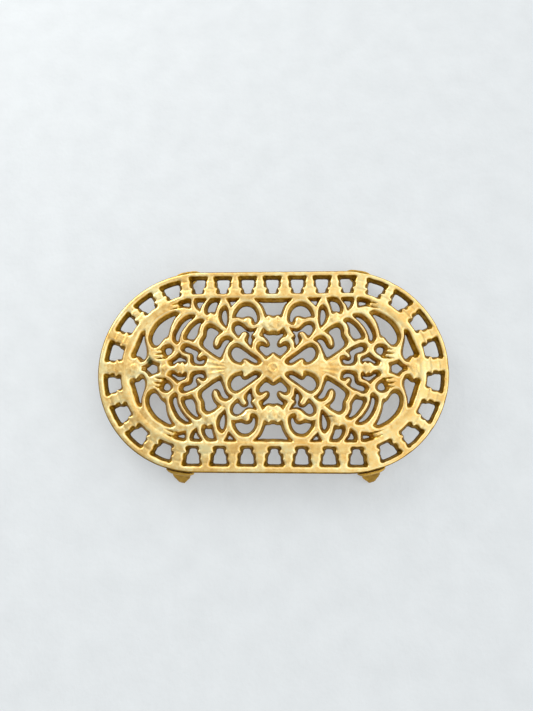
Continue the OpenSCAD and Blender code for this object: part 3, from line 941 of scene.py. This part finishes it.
# The feet's colours are darker than the plate's: painted shade for feet standing under the rim
SHADED_FOOT_GOLD = (srgb(188, 146, 56), srgb(206, 164, 74), srgb(226, 188, 98))
SHADED_FOOT_BROWN = (srgb(116, 82, 6), srgb(152, 112, 24), srgb(188, 146, 52))
# Painted highlight colours of the polished edges, for the plate and for the feet
POLISHED_HIGHLIGHT = srgb(255, 242, 190)
SHADED_FOOT_HIGHLIGHT = srgb(240, 204, 128)
SCREW_GOLD = (srgb(150, 112, 44), srgb(208, 168, 92))

# Colours of the floor's cloth and of its own light
CLOTH = (srgb(166, 169, 170), srgb(173, 176, 177))
GLOW = srgb(238, 242, 244)

plate = cast_plate()
dress(plate, cast_brass("plate_brass", GOLD, BROWN, POLISHED_HIGHLIGHT, MARKS))
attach(plate, "root")
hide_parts("tray_plate")

# The feet's brass, darker than the plate's: painted shade
shaded_foot_brass = cast_brass("foot_brass", SHADED_FOOT_GOLD, SHADED_FOOT_BROWN, SHADED_FOOT_HIGHLIGHT)
turned_brass = screw_brass()
for node in sorted(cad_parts):
    if node.startswith("foot_"):
        foot = cast_foot(node)
        dress(foot, shaded_foot_brass)
        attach(foot, "root")
        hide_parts(node)
    if node.startswith("screw_"):
        dress(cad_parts[node], turned_brass)


# ---- floor, light and camera --------------------------------------------------------------
FLOOR_HALF = 4000

# Where the camera stands over the middle of the plate's top, and how it is turned
CAMERA_PLACE = (11.7, -51.9, 298.2)
CAMERA_TURN, CAMERA_TILT, CAMERA_ROLL = (math.radians(a) for a in (13.42, 11.57, -13.33))
CAMERA_LENS = 27.04
SENSOR_WIDTH = 36
CLIP_START = 0.01

# Brightness of the studio by height, from the horizon to straight up
SKY = [(0.0, 0.95), (0.15, 1.2), (0.4, 1.12), (0.8, 0.84), (1.0, 0.87)]
SKY_TINT = (0.97, 0.985, 1.0)
SKY_LEAN = (0.5, 0.12)         # how much brighter the studio is to the right and to the back
LEAN_REACH = 0.3               # how far from straight up the lean is complete

# The window is a disc of light, high to the left and behind the tray
WINDOW_PLACE = (-0.55, 0.6, 0.5)
WINDOW_SIZE = 0.6
WINDOW_ENERGY = 4.2
WINDOW_TINT = (1, 0.99, 0.97)


def make_floor():
    """A wide flat cloth that the tray stands on."""
    corners = [(x * FLOOR_HALF, y * FLOOR_HALF, 0) for x, y in ((-1, -1), (1, -1), (1, 1), (-1, 1))]
    floor = object_from("floor", corners, [(0, 1, 2, 3)])
    dress(floor, floor_cloth())


def make_sky():
    """A soft studio round the tray: bright low down, so that rounded edges catch light."""
    world = bpy.data.worlds.new("studio")
    world.use_nodes = True
    bpy.context.scene.world = world
    nodes, links = world.node_tree.nodes, world.node_tree.links
    split = nodes.new("ShaderNodeSeparateXYZ")
    links.new(nodes.new("ShaderNodeTexCoord").outputs["Generated"], split.inputs[0])
    ramp = nodes.new("ShaderNodeValToRGB")
    elements = ramp.color_ramp.elements
    while len(elements) < len(SKY):
        elements.new(0.5)
    for element, (position, level) in zip(elements, SKY):
        element.position = position
        element.color = (*(level * tint for tint in SKY_TINT), 1)
    links.new(split.outputs["Z"], ramp.inputs["Fac"])
    both = nodes.new("ShaderNodeMath")
    both.operation = "MULTIPLY"
    for socket, axis, lean in zip(both.inputs, "XY", SKY_LEAN):
        level = nodes.new("ShaderNodeMapRange")
        links.new(split.outputs[axis], level.inputs["Value"])
        ends = {"From Min": -LEAN_REACH, "From Max": LEAN_REACH, "To Min": 1 - lean, "To Max": 1 + lean}
        for name, value in ends.items():
            level.inputs[name].default_value = value
        links.new(level.outputs["Result"], socket)
    background = nodes["Background"]
    links.new(ramp.outputs["Color"], background.inputs["Color"])
    links.new(both.outputs[0], background.inputs["Strength"])


def make_window():
    """A large soft light that looks at the tray."""
    data = bpy.data.lights.new("window", "AREA")
    data.shape = "DISK"
    data.size = WINDOW_SIZE
    data.energy = WINDOW_ENERGY
    data.color = WINDOW_TINT
    light = bpy.data.objects.new("window", data)
    light.location = WINDOW_PLACE
    light.rotation_mode = "QUATERNION"
    light.rotation_quaternion = (-light.location).to_track_quat("-Z", "Y")
    bpy.context.scene.collection.objects.link(light)


def make_camera():
    """The photo's camera, above the tray and a little in front."""
    data = bpy.data.cameras.new("camera")
    data.lens = CAMERA_LENS
    data.sensor_width = SENSOR_WIDTH
    data.clip_start = CLIP_START
    camera = bpy.data.objects.new("camera", data)
    turn = Matrix.Rotation(CAMERA_TURN, 3, "Z")
    tilt = Matrix.Rotation(CAMERA_TILT, 3, "X")
    roll = Matrix.Rotation(CAMERA_ROLL, 3, "Z")
    camera.rotation_mode = "QUATERNION"
    camera.rotation_quaternion = (turn @ tilt @ roll).to_quaternion()
    camera.location = (Vector(CAMERA_PLACE) + Vector((0, 0, TOP))) * MM
    bpy.context.scene.collection.objects.link(camera)
    bpy.context.scene.camera = camera


make_floor()
make_sky()
make_window()
make_camera()
bpy.context.scene.view_settings.view_transform = "Standard"
